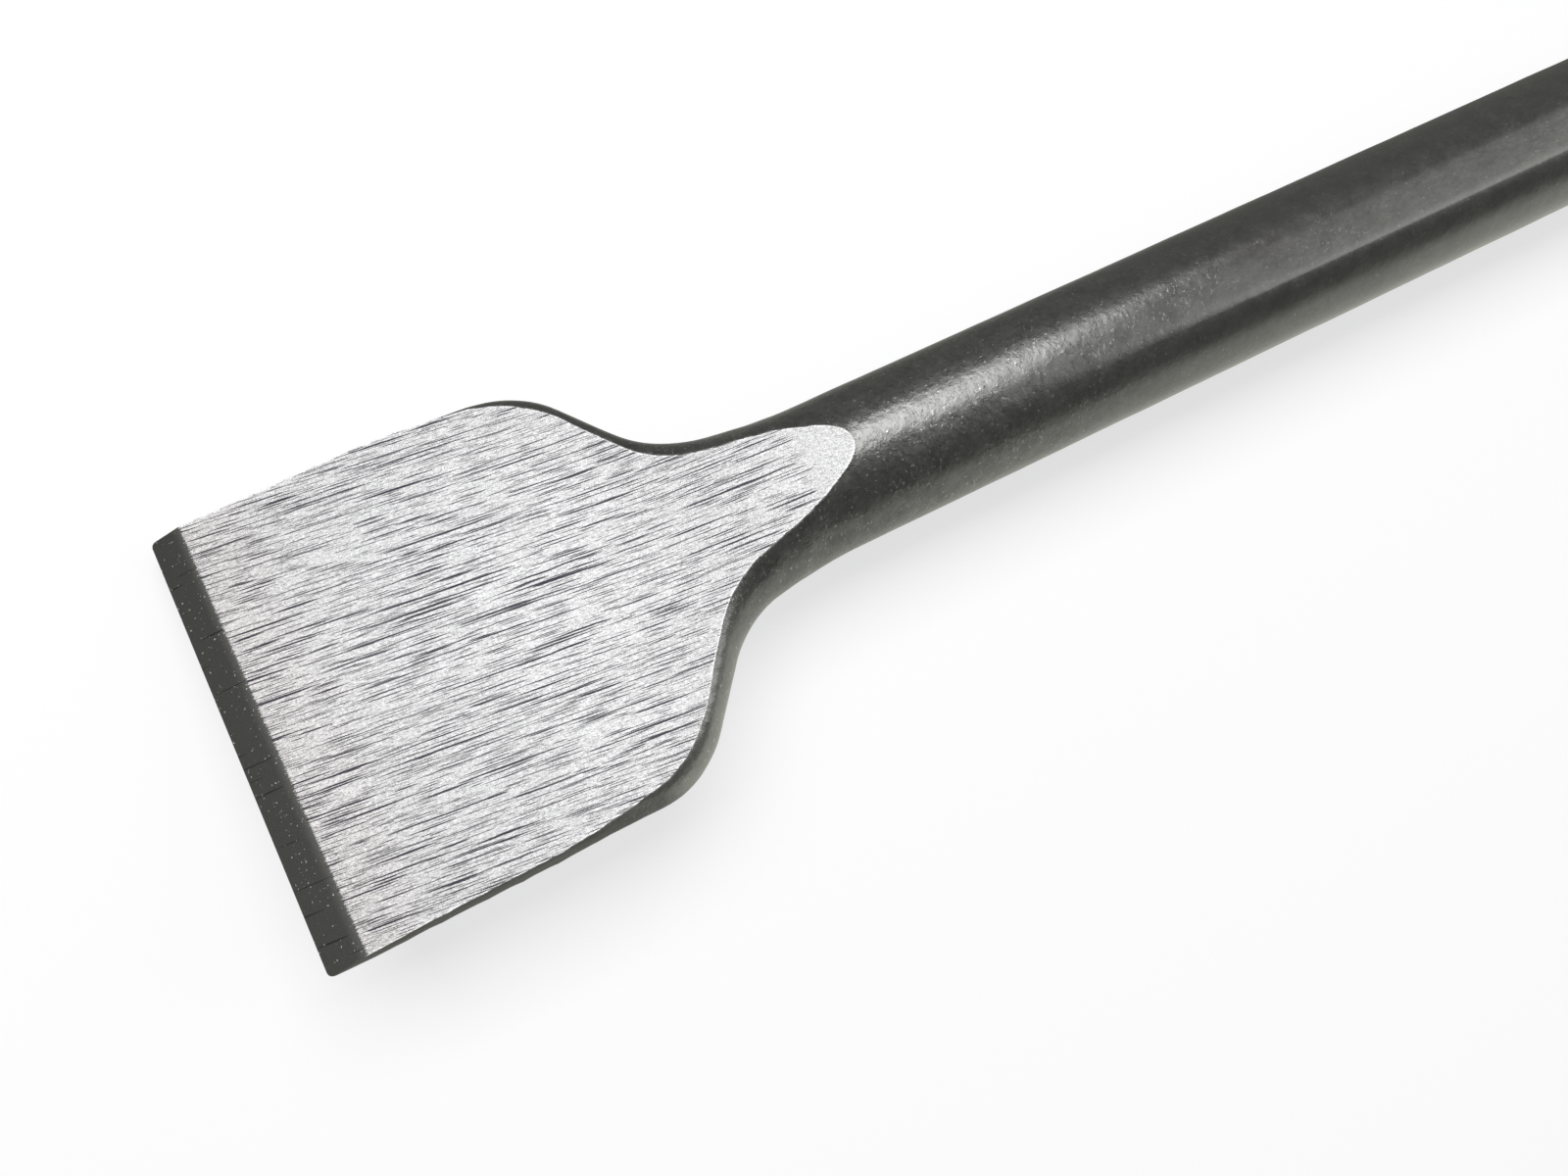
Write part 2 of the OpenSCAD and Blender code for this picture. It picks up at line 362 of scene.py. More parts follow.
def head_rings(f):
    """Rings from the cutting edge to the tip of the ground face. A section is flat on top out
    to the rim and round on the flank: the circle through both rims and the widest point."""
    t = np.array(BEVEL_STEPS)[:, None]
    near = np.linspace(0, 1, 9)[1:, None]
    # The rings draw together toward the tips, where the rims turn.
    e_far = np.concatenate([
        np.arange(f.bevel + 3, f.square_to, 1.0),
        np.arange(f.square_to, f.face_flat, 0.6),
        f.face_end - (f.face_end - f.face_flat) * (1 - np.linspace(0, 1, 70)) ** 1.25,
    ])[:, None]
    # The first upright ring behind the bevels, whose end is askew.
    first = f.bevel + 2

    def section(e, h):
        b, s = f.plan_half(e), np.maximum(f.bulge(e, h), LEAST_BULGE)
        r = (s * s + h * h) / (2 * s)
        reach = np.arcsin(np.clip(h / r, 0, 1))
        w = b - r + r * np.cos(reach)
        narrow = np.minimum(RIM_STEP / w, 0.02)
        across = block(TOP, narrow) * w
        a = flank_angles(reach, reach / 4, np.minimum(RIM_STEP / r, reach / 12))
        return join_ring(across, h + 0 * across, b - r + r * np.cos(a), r * np.sin(a))

    half_edge = f.edge_t / 2
    y0, z0 = section(np.zeros((1, 1)), np.full((1, 1), half_edge))
    edge_e = 0 * y0
    y1, z1 = section(np.full((1, 1), f.bevel), f.face_half(np.full((1, 1), f.bevel)))
    e1 = f.bevel_end(y1)
    z1 = z1 * f.face_half(e1) / f.face_half(f.bevel)
    bevel = [mix(edge_e, e1, t), mix(y0, y1, t), mix(z0, z1, t)]
    y2, z2 = section(np.full((1, 1), first), f.face_half(np.full((1, 1), first)))
    start = [mix(e1, first, near), mix(y1, y2, near), mix(z1, z2, near)]
    yf, zf = section(e_far, f.face_half(e_far))
    closing = [edge_e, y0, 0 * z0]
    parts = [closing, bevel, start, [e_far + 0 * yf, yf, zf]]
    return [np.concatenate([p[k] for p in parts]) for k in range(3)]


def bar_radius(f, x):
    """Radius at distance x from the striking end: chamfer, shank, cone and shaft."""
    at = [0, f.end_chamfer, f.shank_l, f.shank_l + f.cone_l]
    return np.interp(x, at, [f.shank_r - f.end_chamfer, f.shank_r, f.shank_r, f.shaft_r])


def groove_half(f, x):
    """Half width of the closed ball groove where it meets the shank's surface, at distance x."""
    first, last = f.groove_at + f.ball_r, f.groove_at + f.groove_l - f.ball_r
    off = np.maximum(np.maximum(first - x, x - last), 0)
    rho2 = f.ball_r**2 - off**2
    centre = f.ball_floor + f.ball_r
    z = (f.shank_r**2 + centre**2 - rho2) / (2 * centre)
    return np.sqrt(np.maximum(f.shank_r**2 - z * z, 0)) * (rho2 > 0)


def groove_depth(f, x, y):
    """Height of the ball groove's floor at distance x and offset y: the ball's underside."""
    first, last = f.groove_at + f.ball_r, f.groove_at + f.groove_l - f.ball_r
    off = np.maximum(np.maximum(first - x, x - last), 0)
    return f.ball_floor + f.ball_r - np.sqrt(np.maximum(f.ball_r**2 - off**2 - y * y, 0))


def bar_rings(f):
    """Rings from the tip of the ground face to the striking end: a circle, with a ball groove
    cut into its upper and lower block and a drive slot into its side blocks. The points draw
    together at the grooves and slots, so that their rims lie on the grid."""
    start = f.whole - f.face_end
    smallest = np.sqrt(f.shaft_r**2 - f.run_out_h**2)
    above_floor = f.slot_cutter_r - (f.shank_r - f.slot_floor)
    slot_end = f.slot_l + np.sqrt(max(f.slot_cutter_r**2 - above_floor**2, 0))
    g0, g1 = f.groove_at, f.groove_at + f.groove_l
    bend = 1 - np.cos(np.linspace(0, np.pi / 2, 22))
    x = np.concatenate([
        start - np.array(TIP_RINGS),
        np.arange(start - SETTLE, f.shank_l + f.cone_l, -BAR_STEP),
        f.shank_l + f.cone_l - f.cone_l * np.linspace(0, 1, 9),
        np.arange(f.shank_l - 1, slot_end, -BAR_STEP),
        slot_end - (slot_end - g1) * np.linspace(0, 1, 40)[:-1],
        g1 - f.ball_r * bend,
        np.linspace(g1 - f.ball_r, g0 + f.ball_r, 12)[1:-1],
        g0 + f.ball_r * bend[::-1],
        np.linspace(g0, f.end_chamfer, 10)[1:],
        np.linspace(f.end_chamfer, 0, 4)[1:],
    ])[:, None]
    r = bar_radius(f, x)
    even = np.pi / 2 / (TOP + 2 * ARC + SIDE)
    even_top, even_side = TOP * even, SIDE * even
    top = mix(np.arcsin(smallest / r), even_top, ease((start - x) / SETTLE))
    opening = groove_half(f, x)
    in_groove = (x > g0 - 2) & (x < g1 + 2)
    tight = np.maximum(np.arcsin(np.clip(opening / r, 0, 1)), CLOSED)
    near_groove = np.minimum(ease((g1 + SETTLE - x) / SETTLE), ease(x / g0))
    top = np.where(in_groove, tight, mix(top, CLOSED, near_groove * (x > g1)))
    top = np.where(x < g0, mix(even_top, CLOSED, ease(x / g0)), top)
    slot_half = np.arcsin(np.clip(f.slot_w / 2 / r, 0, 1))
    side = mix(even_side, slot_half, between(f.shank_l - x, SLOT_SETTLE))
    narrow = RIM_STEP / (r * top)
    along = block(TOP, np.minimum(narrow, 0.3)) * top
    top_y, top_z = r * np.sin(along), r * np.cos(along)
    cut = in_groove & (opening > 0)
    top_z = np.where(cut, np.minimum(top_z, groove_depth(f, x, top_y)), top_z)
    a = flank_angles(np.pi / 2 - top, side, np.minimum(RIM_STEP / r, 0.01) + 0 * top)
    flank_y, flank_z = cut_slots(f, x, r * np.cos(a), r * np.sin(a), r)
    y, z = join_ring(top_y, top_z, flank_y, flank_z)
    return f.whole - x + 0 * y, y, z


def cut_slots(f, x, flank_y, flank_z, r):
    """Moves the side block of each ring onto the drive slot: two upright walls and a floor
    that rises along the cutter's arc where the slot runs out."""
    rise = f.slot_floor + f.slot_cutter_r - np.sqrt(
        np.maximum(f.slot_cutter_r**2 - np.clip(x - f.slot_l, 0, f.slot_cutter_r) ** 2, 0)
    )
    half = f.slot_w / 2
    here = rise < np.sqrt(r * r - half * half)
    walls = 3
    floor = SIDE + 1 - 2 * walls
    wall = np.linspace(0, 1, walls + 1)[:-1]
    share = np.concatenate([np.ones(walls), np.linspace(1, -1, floor), -np.ones(walls)])
    down = np.concatenate([wall, np.ones(floor), wall[::-1]])
    z = half * share + 0 * x
    surface = np.sqrt(np.maximum(r * r - z * z, 0))
    y = np.minimum(surface, mix(surface, rise, down))
    block_y, block_z = flank_y[:, ARC : ARC + SIDE + 1], flank_z[:, ARC : ARC + SIDE + 1]
    block_y[:] = np.where(here, y, block_y)
    block_z[:] = np.where(here, z, block_z)
    return flank_y, flank_z


def rest_roll(f, e, y, z):
    """Roll at which the blade's lower side touches the floor that the shaft lies on, found by
    halving: too far when the blade's lowest point passes below the shaft."""
    wide = f.plan_half(e[:, :1]) > 1.5 * f.shaft_r
    wide &= e[:, :1] >= f.square_to
    yy, zz = y[wide[:, 0]], z[wide[:, 0]]
    low, high = 0.0, np.pi / 4
    for _ in range(ROLL_STEPS):
        middle = (low + high) / 2
        deep = -(yy * np.sin(middle) + zz * np.cos(middle)).min() > f.shaft_r
        low, high = (low, middle) if deep else (middle, high)
    return (low + high) / 2


def waves(e, y, z):
    """Soft unevenness of the forged skin: how far it lies in from its highest, as a sum of a
    few slow waves of unlike length and direction, height * (1 - sin)."""
    return sum(
        height * (1 - np.sin(a * e + b * y + c * z + shift)) for height, a, b, c, shift in SKIN_WAVES
    )


def forged_share(f, e, rim):
    """Share of the skin's waves that shows: none on the bevels, the faces and the cone, all of
    it on the head's flanks, and BAR_SHARE of it on the bar, with smooth steps between."""
    to_cone = f.whole - f.shank_l - f.cone_l - e
    flank = between(e - f.bevel, PAST_BEVEL) * between(-rim, PAST_RIM) * between(to_cone, BEFORE_CONE)
    return flank * mix(1, BAR_SHARE, between(e - f.neck_end, PAST_NECK))


def rim_share(f, e, rim):
    """Share of the rims' waves that shows: exp(-distance from the rim / RIM_REACH), with smooth
    steps behind the bevels and before the faces' tips."""
    near = np.exp(-np.abs(rim) / RIM_REACH)
    return near * between(e - f.bevel, RIM_PAST_BEVEL) * between(f.face_end - e, RIM_BEFORE_TIP)


def forged_flat(f, e, y, z, roll):
    """Depth in millimetres of the long flat that the hammer left on top of the bar: how far the
    round bar stands above a plane across it, r - (r - sink) / cos(lean), kept above 0 with a
    rounded corner. The ridge at -Y is soft, and the other gets crisp away from the head. The
    plane sinks in slowly and comes out again before the shank."""
    lean = np.clip(np.arctan2(y, z) - roll - FLAT_TURN, -1.2, 1.2)
    sink = FLAT_DEPTH * between(e, FLAT_IN) * (1 - between(e, FLAT_OUT))
    above = f.shaft_r - (f.shaft_r - sink) / np.cos(lean)
    ridge = mix(SOFT_RIDGE, CRISP_RIDGE, ease(0.5 + lean * 3) * between(e, CRISP_IN))
    return (above + np.sqrt(above**2 + ridge**2)) / 2 * ease(sink / 0.1)


def rim_wave(e, side):
    """How far the rim between face and flank lies in from its even line, in millimetres: the
    sum of short waves that differ on the four rims, height * (1 - sin)."""
    return sum(height * (1 - np.sin(turn * e + shift * side)) for height, turn, shift in RIM_WAVES)


def hammered(f, e, side):
    """How far the plan stands off its even curve, in millimetres: full before the shaft and on
    the shoulder at +Y, hollow where the flank at -Y turns into the neck, and rounded at the
    corners of the cutting edge."""
    full = hump(e, f.neck_end, NECK_FULL) + (side > 0) * hump(e, f.blade_side, SHOULDER_FULL)
    hollow = (side < 0) * hump(e, f.flare_end, NECK_HOLLOW)
    corner = CORNER_R - np.sqrt(CORNER_R**2 - np.clip(CORNER_R - e, 0, CORNER_R) ** 2)
    return full - hollow - corner


def chisel_surface(f):
    """The whole skin as a grid of rings: the places in the part's frame in metres, the same
    before the roll as distance from the edge, y and z in millimetres, the distance inside the
    ground face's rim, and the number of rings that belong to the head. The skin is pushed in
    or out along its rings by the traces of forging and wear, and then rolled about the bar."""
    head = head_rings(f)
    last = len(head[0])
    e, y, z = (np.concatenate(p) for p in zip(head, bar_rings(f)))
    # The striking face closes on the axis.
    for share in END_RINGS:
        e, y, z = (np.concatenate([p, p[-1:] * s]) for p, s in ((e, 1), (y, share), (z, share)))
    roll = rest_roll(f, e[:last], y[:last], z[:last])
    column = np.arange(y.shape[1])
    on_face = (column < TOP - 1) | ((column >= LOW) & (column < LOW + TOP - 1))
    rim = rim_distance(f, e, y, z, on_face, last)
    radius = np.hypot(y, z) + 1e-9
    sunk = waves(e, y, z) * forged_share(f, e, rim) + forged_flat(f, e, y, z, roll)
    y = y * (1 + hammered(f, e, np.sign(y)) / f.plan_half(e))
    y = y - np.sign(y) * rim_wave(e, np.sign(y) + 3 * np.sign(z)) * rim_share(f, e, rim)
    yy, zz = y * (1 - sunk / radius), z * (1 - sunk / radius)
    place = np.stack([
        f.whole - e, yy * np.cos(roll) - zz * np.sin(roll), yy * np.sin(roll) + zz * np.cos(roll)
    ], -1)
    return place * MM, np.stack([e, y, z], -1), rim, last


def rim_distance(f, e, y, z, on_face, last):
    """Signed distance in millimetres inside the rim of the ground faces: how far a point lies
    in from the rim on a face, and minus how far it lies down the flank. On the bar, behind
    the head's last ring, it is minus the distance past the faces, 5 or more."""
    h = f.face_half(e)
    w = f.plan_half(e) - np.maximum(f.bulge(e, h), LEAST_BULGE)
    rim = np.where(on_face, w - np.abs(y), -np.hypot(np.abs(y) - w, np.abs(z) - h))
    rows = np.arange(len(e))[:, None]
    return np.where(rows < last, rim, -np.maximum(5.0, e - f.face_end))


def grid_faces(rows, n):
    """Quads between neighbouring rings, wound so that they face outward."""
    i, j = np.meshgrid(np.arange(rows - 1), np.arange(n), indexing="ij")
    a, b = i * n + j, i * n + (j + 1) % n
    return np.stack([a, a + n, b + n, b], -1).reshape(-1, 4)


def build_mesh(name, points, faces, slots, grain, rim):
    """A smooth mesh from a ring grid, with the material of each face, and with the unrolled
    place and the rim's distance of each point for the materials to read."""
    mesh = bpy.data.meshes.new(name)
    mesh.from_pydata(points.reshape(-1, 3).tolist(), [], faces.tolist())
    mesh.polygons.foreach_set("material_index", slots.astype(np.int32))
    mesh.polygons.foreach_set("use_smooth", np.ones(len(faces), bool))
    held = (("grain", "FLOAT_VECTOR", "vector", grain), ("rim", "FLOAT", "value", rim))
    for key, kind, field, data in held:
        mesh.attributes.new(key, kind, "POINT").data.foreach_set(field, data.ravel().astype(np.float32))
    return mesh


# Shader maths.


class Value:
    """One output of a shader tree. Sums, products and powers of Values add Math nodes."""

    def __init__(self, shader, socket):
        self.shader, self.socket = shader, socket

    def math(self, operation, *others):
        return self.shader.add("ShaderNodeMath", {"operation": operation}, [self, *others])

    def __add__(self, other):
        return self.math("ADD", other)

    def __sub__(self, other):
        return self.math("SUBTRACT", other)

    def __mul__(self, other):
        return self.math("MULTIPLY", other)

    def __truediv__(self, other):
        return self.math("DIVIDE", other)

    def __pow__(self, other):
        return self.math("POWER", other)

    def __neg__(self):
        return self * -1

    def __radd__(self, other):
        return self + other

    def __rmul__(self, other):
        return self * other

    def __rsub__(self, other):
        return self.shader.add("ShaderNodeMath", {"operation": "SUBTRACT"}, [other, self])

    def clamp(self):
        return self.shader.add("ShaderNodeClamp", {}, [self])

    def step(self, low, high):
        """0 below low and 1 above high, smooth between."""
        return self.shader.add(
            "ShaderNodeMapRange", {"interpolation_type": "SMOOTHSTEP"}, [self, low, high, 0.0, 1.0]
        )


class Shader:
    """The emptied node tree of a material or a world. add() makes any node; the rest are short
    names for common ones."""

    def __init__(self, owner):
        owner.use_nodes = True
        self.owner, self.tree = owner, owner.node_tree
        self.tree.nodes.clear()

    def add(self, kind, settings=None, inputs=(), out=0):
        """A node of that type with its settings set first, then its inputs, given in order or by
        name. Returns the output out as a Value."""
        node = self.tree.nodes.new(kind)
        for key, value in (settings or {}).items():
            setattr(node, key, value)
        pairs = inputs.items() if isinstance(inputs, dict) else enumerate(inputs)
        for key, value in pairs:
            if isinstance(value, Value):
                self.tree.links.new(value.socket, node.inputs[key])
            else:
                node.inputs[key].default_value = value
        return Value(self, node.outputs[out]) if node.outputs else None

    def attribute(self, name, out):
        return self.add("ShaderNodeAttribute", {"attribute_name": name}, out=out)

    def parts(self, vector):
        """The three parts of a vector."""
        node = self.add("ShaderNodeSeparateXYZ", {}, [vector]).socket.node
        return [Value(self, node.outputs[k]) for k in range(3)]

    def vector(self, x, y, z=0.0):
        return self.add("ShaderNodeCombineXYZ", {}, [x, y, z])

    def random(self, *places):
        """Three random numbers from 0 to 1 for each cell of up to three whole numbers."""
        white = self.add("ShaderNodeTexWhiteNoise", {}, {"Vector": self.vector(*places)}, out=1)
        return self.parts(white)

    def noise(self, vector, scale, detail, roughness):
        sockets = {"Vector": vector, "Scale": scale, "Detail": detail, "Roughness": roughness}
        return self.add("ShaderNodeTexNoise", {}, sockets)

    def blend(self, share, a, b, how="MIX"):
        """Colour a where share is 0 and b where it is 1."""
        factor, first, second, result = 0, 6, 7, 2
        settings = {"data_type": "RGBA", "blend_type": how}
        return self.add("ShaderNodeMix", settings, {factor: share, first: a, second: b}, result)

    def bump(self, height, strength, distance):
        sockets = {"Height": height, "Strength": strength, "Distance": distance}
        return self.add("ShaderNodeBump", {}, sockets)

    def finish(self, **sockets):
        """Ends the material with its surface shader, with spaces for underlines in the names of
        its sockets, and returns the material."""
        named = {key.replace("_", " "): value for key, value in sockets.items()}
        surface = self.add("ShaderNodeBsdfPrincipled", {}, named)
        self.add("ShaderNodeOutputMaterial", {}, {"Surface": surface})
        return self.owner


def tone(colour_value, share=1.0):
    """That share of a colour property, as four numbers."""
    return (*(part * share for part in colour_value), 1.0)


def grey(level):
    """A neutral grey as four numbers."""
    return (level, level, level, 1.0)


# Layers of scratches on the faces, coarse to fine, and the faint one on the bevels: width and
# length of a cell, half width of a scratch, part of the cells that hold one, and seed. Before
# each comes how dark its scratches are.
FACE_SCRATCHES = (
    (1.0, (1.05, 13.0, 0.110, 0.55, 1.3)),
    (1.0, (0.60, 9.0, 0.085, 0.60, 4.7)),
    (0.9, (0.34, 6.5, 0.064, 0.65, 9.1)),
    (0.75, (0.20, 4.0, 0.048, 0.75, 15.9)),
)
BEVEL_SCRATCHES = (0.75, (1.2, 5.0, 0.10, 0.5, 21.0))


def scratch_layer(s, along, across, side, lane, span, half, share, seed):
    """Tapered grinding scratches, 1 on their dark floor. Lanes of that width run along the grain
    and are cut into cells of that span, shifted at random. A cell holds one scratch or none: a
    straight line at a random place in the lane, widest in its middle, with random length and
    strength. share is the part of the cells that hold one."""
    lane_place = across / lane
    row = lane_place.math("FLOOR")
    shift = s.random(row, side + seed)[0]
    u = along / span + shift * 9
    cell = u.math("FLOOR")
    size, place, strength = s.random(row, cell, side + seed)
    off = (u.math("FRACT") - 0.5) / (size * 0.30 + 0.15)
    taper = (1 - off * off).clamp()
    beside = (lane_place.math("FRACT") - place * 0.5 - 0.25).math("ABSOLUTE") * lane
    there = strength.math("GREATER_THAN", 1 - share)
    width = taper * ((strength - 1 + share) * (0.8 / share) + 0.3) * half + 0.0005
    line = 1 - (beside / width).step(0.4, 1.0)
    return line * there


def ground_steel(finish, f):
    """Bright ground faces with leaning scratches, and the dark bevels at their edge. The grain
    runs along the bar, turned by the lean, and stops in a ragged line before the faces' tips."""
    s = Shader(bpy.data.materials.new("ground_steel"))
    grain = s.attribute("grain", 1)
    rim = s.attribute("rim", 2)
    e, y, z = s.parts(grain)
    side = z.math("SIGN") * 3
    cos, sin = float(np.cos(finish.scratch_lean)), float(np.sin(finish.scratch_lean))
    wobble = (s.noise(grain, 0.9, 2.0, 0.6) - 0.5) * 0.05
    along, across = e * cos + y * sin, y * cos - e * sin + wobble

    # Grain of the bare metal, from drawn-out to even.
    fine = s.noise(s.vector(along * 0.35, across, z), 7.0, 2.0, 0.8)
    hair = s.noise(s.vector(along * 0.10, across, z + 4), 8.0, 2.0, 0.7).step(0.42, 0.30)
    speck = s.noise(grain, 8.5, 1.0, 0.7)
    grit = s.noise(s.vector(e, y, z + 9), 3.8, 2.0, 0.7)
    patch = s.noise(grain, 0.13, 2.0, 0.5)

    # Scratches, in clumps, and denser near the edge.
    stop = e + (s.noise(s.vector(across, side), 1.3, 2.0, 0.6) - 0.5) * 4
    scratched = 1 - stop.step(f.face_end - 5.0, f.face_end - 4.4)
    clump = s.noise(s.vector(along * 0.12, across * 0.5, side), 1.0, 2.0, 0.6).step(0.3, 0.62)
    near_edge = 1 - e.step(4, 12)
    broken = 0.75 + fine.step(0.3, 0.5) * 0.25
    marks = sum(
        scratch_layer(s, along, across, side, *layer) * dark for dark, layer in FACE_SCRATCHES
    )
    marks = (marks * scratched * broken * (0.78 + clump * 0.35 + near_edge * 0.15)).clamp()

    # The face: its grain, a warmer tone at the edge, the scratches, and a painted highlight along the rim.
    level = 0.56 + (fine - 0.5) * 1.9 + (speck - 0.5) * 1.1 + (patch - 0.5) * 0.15
    level = level + (grit - 0.5) * scratched * 0.3 - (1 - scratched) * 0.06 - hair * scratched * 0.4
    bright = s.blend(level.clamp(), tone(finish.ground, 0.40), tone(finish.ground, 1.35))
    warm = s.blend(e.step(2, 16), (1.0, 0.98, 0.965, 1), grey(1.0))
    bright = s.blend(1.0, bright, warm, "MULTIPLY")
    face = s.blend(marks, bright, tone(finish.scratch))
    # A painted highlight: a bright thin line just inside the face's rim.
    painted_rim_highlight = rim.step(0.15, 0.05) * fine.step(0.35, 0.55) * 0.6
    face = s.blend(painted_rim_highlight, face, (0.85, 0.85, 0.86, 1))

    # The bevel: a dark strip up to a jagged line, with faint scratches and a few bright dots.
    jag = s.noise(s.vector(y * 7.0, side), 1.0, 3.0, 0.7)
    line = f.bevel + 0.08 + y * (f.bevel_uneven / 2 / f.half_w) + (jag - 0.5) * 1.2
    strip = 1 - (e - line).step(-0.03, 0.03)
    faint, layer = BEVEL_SCRATCHES
    shade = s.blend(0.5 + (speck - 0.5) * 1.2, tone(finish.bevel, 0.8), tone(finish.bevel, 1.2))
    shade = s.blend(scratch_layer(s, along, across, side, *layer) * faint, shade, grey(0.03))
    shade = s.blend(s.noise(grain, 4.0, 1.0, 0.5).step(0.70, 0.75), shade, grey(0.7))

    rough = (0.52 + marks * 0.1 + (fine - 0.5) * 0.2) * (1 - strip) + strip * 0.45
    height = ((fine - 0.5) * 0.8 + (speck - 0.5) * 0.8 - marks) * (1 - strip) + strip * (speck - 0.5) * 0.4
    normal = s.bump(height, 0.45, 0.00006)
    return s.finish(Base_Color=s.blend(strip, face, shade), Metallic=0.8, Roughness=rough, Normal=normal)


def blasted_steel(finish, f):
    """Dark shot-blasted bar: fine pits, slow mottling, a few bright nicks, painted glints near the
    head, and a painted highlight along the rims of the ground faces: a bright thin line. It
    is roughest near the head, and painted lighter on the shoulders at +Y, a painted sheen."""
    s = Shader(bpy.data.materials.new("blasted_steel"))
    grain = s.attribute("grain", 1)
    rim = s.attribute("rim", 2)
    e, y, z = s.parts(grain)
    worn = 1 - e.step(64, 100) * 0.7
    # Painted sheen: the shoulders at +Y are painted lighter, standing in for the paper's light reflected
    # there.
    painted_shoulder_sheen = e.step(23, 31) * (1 - e.step(35, 45)) * y.step(0, 5)

    pits = s.noise(grain, 2.0, 3.0, 0.65) - 0.5
    lumps = s.noise(s.vector(e, y, z - 5), 0.85, 1.0, 0.5) - 0.5
    mottle = s.noise(grain, 0.5, 1.0, 0.5) - 0.5
    # Painted glints: bright specks in the colour that stand in for the light's glints on the grain, fading
    # away from the head with worn; they also raise the bump a little.
    painted_glint = s.noise(s.vector(e * 0.8, y + 7, z), 3.0, 1.0, 0.6).step(0.69, 0.74) * worn
    hollow = s.noise(s.vector(e, y - 7, z), 3.8, 2.0, 0.7).step(0.40, 0.30) * worn
    stroke = s.noise(s.vector((e + y * 0.5) * 4, (y - e * 0.5) * 1.7, z * 1.7), 1.0, 2.0, 0.6)
    group = s.noise(grain, 0.22, 1.0, 0.5).step(0.45, 0.58)
    nick = stroke.step(0.63, 0.69) * group * worn

    shade = (0.5 + pits * (0.6 + worn * 0.8) + lumps * worn + mottle * 0.6).clamp()
    skin = s.blend(shade, tone(finish.blasted, 0.75), tone(finish.blasted, 1.25))
    skin = s.blend(painted_shoulder_sheen * 0.28, skin, (0.6, 0.6, 0.58, 1))
    skin = s.blend(hollow * 0.3, skin, grey(0.05))
    # The painted glints and the bright nicks lighten the skin.
    for share in (painted_glint * 0.5, nick * 0.4):
        skin = s.blend(share, skin, (0.7, 0.7, 0.69, 1))
    # A painted highlight: a bright, ragged thin line just down the flank from the ground faces' rims.
    ragged = (s.noise(grain, 3.0, 2.0, 0.7) - 0.5) * 0.5
    painted_rim_highlight = (rim + ragged).step(-0.16, -0.06)
    skin = s.blend(painted_rim_highlight * 0.8, skin, tone(finish.ground))

    rough = 0.24 + worn * 0.055 + mottle * 0.1 + pits * worn * 0.2
    height = (pits * 1.6 + lumps * 1.4 - hollow * 0.5 + painted_glint * 0.45) * worn**1.4
    height = height + mottle * 0.5 + lumps * 0.4 + pits * 0.25 + nick * 0.7
    normal = s.bump(height, 0.23, 0.0001)
    return s.finish(Base_Color=skin, Metallic=0.85, Roughness=rough, Normal=normal)


# Operators.


class CHISEL_OT_forge(bpy.types.Operator):
    """Build the chisel's skin with its ground and blasted steel"""

    bl_idname = "chisel.forge"
    bl_label = "Forge Chisel"

    def execute(self, context):
        scene = context.scene
        f = Form(scene.chisel_sizes)
        place, grain, rim, last = chisel_surface(f)
        rows, n = place.shape[:2]
        faces = grid_faces(rows, n)
        ring, column = faces[:, 0] // n, faces[:, 0] % n
        on_top = (column < TOP - 1) | (column == n - 1)
        on_low = (column >= LOW - 1) & (column < LOW + TOP - 1)
        ground = (on_top | on_low) & (ring < last - 1)
        mesh = build_mesh("chisel_skin", place, faces, np.where(ground, 0, 1), grain, rim)
        piece = bpy.data.objects.new("chisel_skin", mesh)
        scene.collection.objects.link(piece)
        mesh.materials.append(ground_steel(scene.chisel_finish, f))
        mesh.materials.append(blasted_steel(scene.chisel_finish, f))
        weld_ends(mesh)
        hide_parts("chisel")
        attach(piece, "root")
        return {"FINISHED"}


def weld_ends(mesh):
    """Merges the points that meet on the cutting edge and on the striking face, and marks the
    edges sharper than 40 degrees."""
    skin = bmesh.new()
    skin.from_mesh(mesh)
    bmesh.ops.remove_doubles(skin, verts=skin.verts, dist=2e-7)
    bmesh.ops.dissolve_degenerate(skin, edges=skin.edges, dist=1e-7)
    skin.to_mesh(mesh)
    skin.free()
    mesh.set_sharp_from_angle(angle=float(np.radians(40)))
    mesh.update()


# Width of the camera's sensor in millimetres.
SENSOR = 36.0


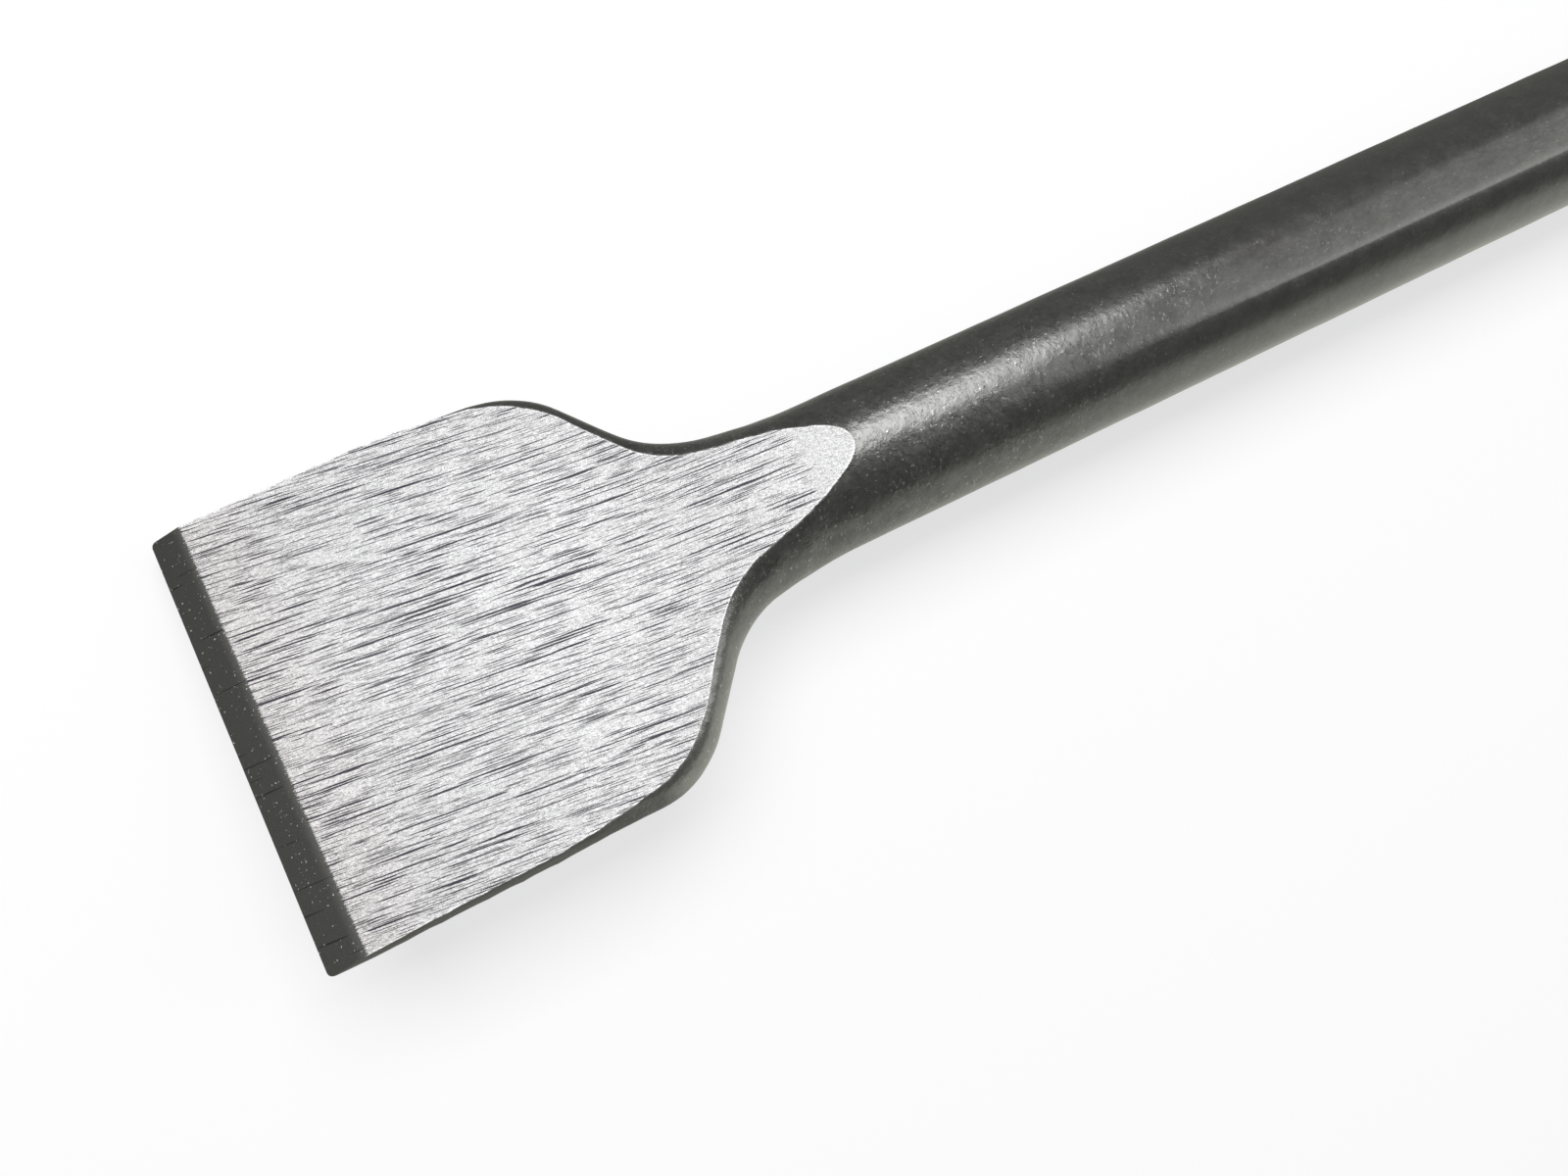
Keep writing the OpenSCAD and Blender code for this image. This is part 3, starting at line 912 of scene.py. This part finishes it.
class CHISEL_OT_studio(bpy.types.Operator):
    """Set up the pale floor, the soft lights and the camera"""

    bl_idname = "chisel.studio"
    bl_label = "Set Up Studio"

    def execute(self, context):
        scene = context.scene
        st = scene.chisel_studio
        camera = bpy.data.cameras.new("camera")
        camera.lens, camera.sensor_width, camera.sensor_fit = st.lens, SENSOR, "HORIZONTAL"
        camera.clip_start, camera.clip_end = 0.005, 50.0
        eye = bpy.data.objects.new("camera", camera)
        eye.location, eye.rotation_euler = st.camera_at, Euler(st.camera_turn)
        scene.collection.objects.link(eye)
        scene.camera = eye

        half, low = st.floor_size / 2, CAD_BOX[0][2]
        mesh = bpy.data.meshes.new("floor")
        corners = [(-half, -half, low), (half, -half, low), (half, half, low), (-half, half, low)]
        mesh.from_pydata(corners, [], [(0, 1, 2, 3)])
        s = Shader(bpy.data.materials.new("pale_floor"))
        paper = s.finish(
            Base_Color=tone(st.floor_tone),
            Roughness=0.9,
            Emission_Color=tone(st.floor_tone),
            Emission_Strength=st.floor_glow,
        )
        mesh.materials.append(paper)
        floor = bpy.data.objects.new("floor", mesh)
        scene.collection.objects.link(floor)
        floor.visible_glossy = False

        self.key_light(scene, st)
        scene.world = bpy.data.worlds.new("room")
        self.room_light(scene.world, st)
        scene.view_settings.view_transform = "Standard"
        return {"FINISHED"}

    @staticmethod
    def room_light(world, st):
        """Light from all round, as a map of directions: a dim room, darker at +Y above the
        horizon, a pale wall beyond the striking end, and the brighter light of the paper from
        below. The floor doesn't show in reflections itself, so that the far side of the bar
        stays dark as it does beside a dark wall."""
        s = Shader(world)
        x, y, z = s.parts(s.add("ShaderNodeTexCoord"))
        dark = y.step(0.25, 0.6) * z.step(0.15, 0.35)
        low_over_wall = (-x).step(0.38, 0.62) * z.step(0.1, 0.4)
        beyond = y.step(-0.25, 0.12) * (1 - y.step(0.20, 0.40)) * low_over_wall
        front, down, back = y.step(-0.1, 0.25), (-z).step(0.6, 0.95), (-x).step(0.02, 0.36)
        low = (0.15 - z + y * 0.2).step(0.0, 0.35)
        paper = low * front * (0.15 + back * 0.85) + down * (1 - front) * 0.6
        glow = s.blend(dark, tone(st.room), tone(st.room, st.room_dark))
        glow = s.blend(beyond, glow, tone(st.wall, st.wall_glow))
        glow = s.blend(paper, glow, tone(st.bounce))
        backdrop = s.add("ShaderNodeBackground", {}, {"Color": glow, "Strength": 1.0})
        s.add("ShaderNodeOutputWorld", {}, {"Surface": backdrop})

    @staticmethod
    def key_light(scene, st):
        """The soft light over the faces: a rectangle that faces the head, long along the bar."""
        lamp = bpy.data.lights.new("key", "AREA")
        lamp.shape, lamp.energy = "RECTANGLE", st.key_power
        lamp.size, lamp.size_y = st.key_long, st.key_wide
        way = Vector(st.key_from).normalized()
        obj = bpy.data.objects.new("key", lamp)
        obj.location = Vector((CAD_BOX[1][0] - st.key_aim, 0, 0)) + way * st.key_far
        obj.rotation_euler = way.to_track_quat("Z", "Y").to_euler()
        scene.collection.objects.link(obj)


class CHISEL_PT_panel(bpy.types.Panel):
    """Lists the chisel's steps and their settings"""

    bl_label = "Flat Chisel"
    bl_idname = "CHISEL_PT_panel"
    bl_space_type = "VIEW_3D"
    bl_region_type = "UI"
    bl_category = "Chisel"

    def draw(self, context):
        layout = self.layout
        for step in STEPS:
            layout.operator(step.bl_idname)
        for holder, group in GROUPS.items():
            box = layout.box()
            for name in group.__annotations__:
                box.prop(getattr(context.scene, holder), name)


GROUPS = {"chisel_sizes": ChiselSizes, "chisel_finish": SteelFinish, "chisel_studio": StudioSizes}
STEPS = (CHISEL_OT_forge, CHISEL_OT_studio)


def register():
    for cls in (*GROUPS.values(), *STEPS, CHISEL_PT_panel):
        bpy.utils.register_class(cls)
    for name, cls in GROUPS.items():
        setattr(bpy.types.Scene, name, bpy.props.PointerProperty(type=cls))


def unregister():
    for name in GROUPS:
        delattr(bpy.types.Scene, name)
    for cls in reversed((*GROUPS.values(), *STEPS, CHISEL_PT_panel)):
        bpy.utils.unregister_class(cls)


def main():
    register()
    bpy.ops.chisel.forge()
    bpy.ops.chisel.studio()


if __name__ == "__main__":
    main()
